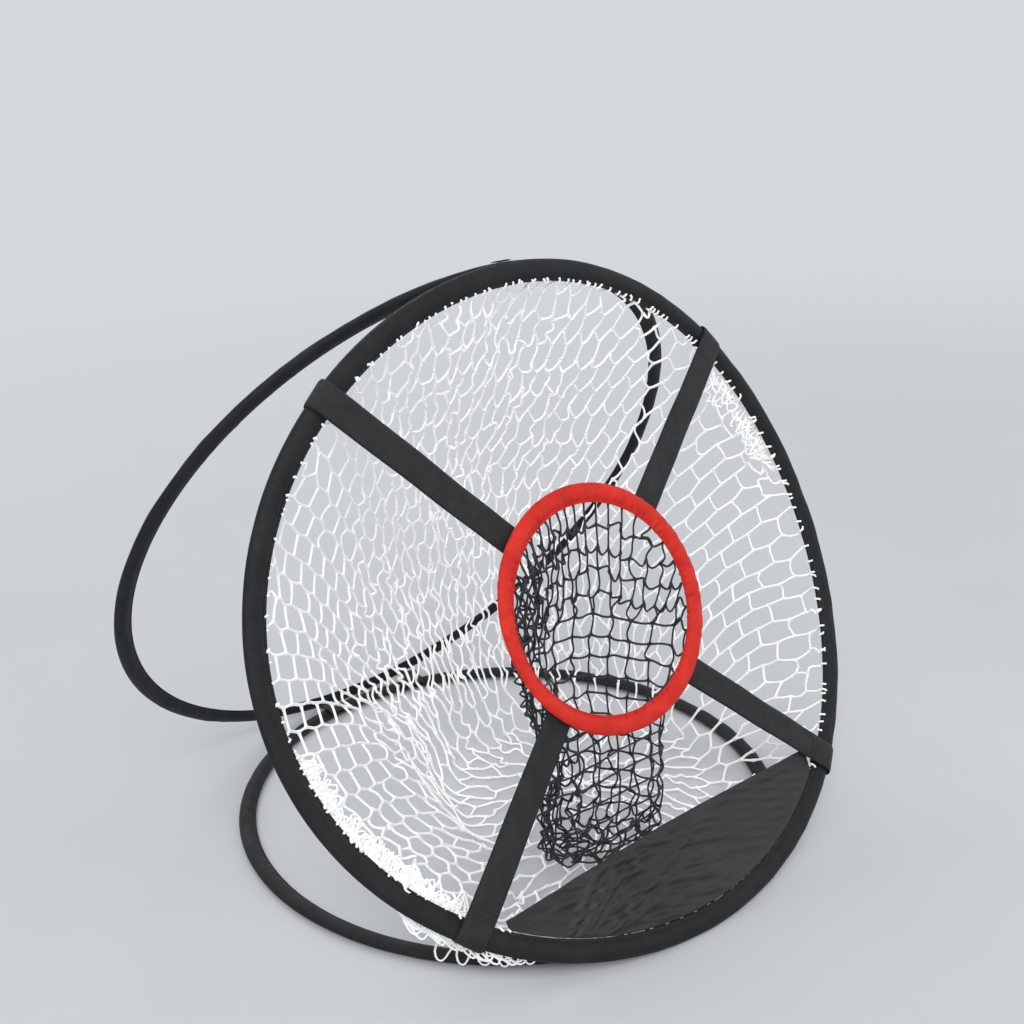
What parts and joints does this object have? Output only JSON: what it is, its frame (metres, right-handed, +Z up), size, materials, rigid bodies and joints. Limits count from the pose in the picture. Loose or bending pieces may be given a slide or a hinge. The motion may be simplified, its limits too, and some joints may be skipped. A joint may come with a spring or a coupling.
{
  "type": "golf chipping net",
  "caption": "Pop-up golf chipping net: sprung hoops stand as a triangle and hold a net bag, with a ring target and ball pocket hung on webbing straps.",
  "frame": {"origin": "on the ground, under the middle of the base hoop's front rim", "axes": "+X to the player's right, +Y from the player to the back of the net, +Z up"},
  "size_m": [0.6536, 0.5933, 0.5478],
  "materials": {
    "sleeve_fabric": "matt black woven polyester sleeve",
    "webbing": "black woven polypropylene webbing",
    "panel_nylon": "thin black nylon, slight sheen",
    "ring_fabric": "bright red woven polyester",
    "white_cord": "white knotted polyester net cord",
    "black_cord": "black knotted nylon net cord",
    "spring_steel": "tempered spring-steel wire",
    "ferrule_steel": "crimped steel tube"
  },
  "bodies": {
    "front_frame": {"front_sleeve": "sleeve_fabric", "front_spring_wire": "spring_steel", "front_wire_ferrule": "ferrule_steel", "ring_cover": "ring_fabric", "ring_wire": "spring_steel", "ring_wire_ferrule": "ferrule_steel", "strap_lower_right": "webbing", "strap_upper_right": "webbing", "strap_upper_left": "webbing", "strap_lower_left": "webbing", "lower_panel": "panel_nylon", "outer_net": "white_cord", "pocket_net": "black_cord", "bottom_hinge_tape": "webbing", "top_hinge_tape": "webbing"},
    "base_frame": {"base_sleeve": "sleeve_fabric", "base_spring_wire": "spring_steel", "base_wire_ferrule": "ferrule_steel", "back_tab_left": "webbing", "back_tab_right": "webbing", "keeper_strap": "webbing"},
    "rear_frame": {"rear_sleeve": "sleeve_fabric", "rear_spring_wire": "spring_steel", "rear_wire_ferrule": "ferrule_steel"}
  },
  "joints": [
    {"name": "base_fold", "type": "hinge", "parent": "front_frame", "child": "base_frame", "pos_m": [0, -0.0095, 0.0052], "axis": [1, 0, 0], "range_deg": [0, 46], "deforming": ["outer_net", "pocket_net", "bottom_hinge_tape", "back_tab_left", "back_tab_right"]},
    {"name": "rear_fold", "type": "hinge", "parent": "front_frame", "child": "rear_frame", "pos_m": [0, 0.24725, 0.53678], "axis": [-1, 0, 0], "range_deg": [0, 34.5], "deforming": ["outer_net", "top_hinge_tape"]}
  ],
  "couplings": [
    {"joint": "rear_fold", "follows": "base_fold", "ratio": 0.75}
  ]
}
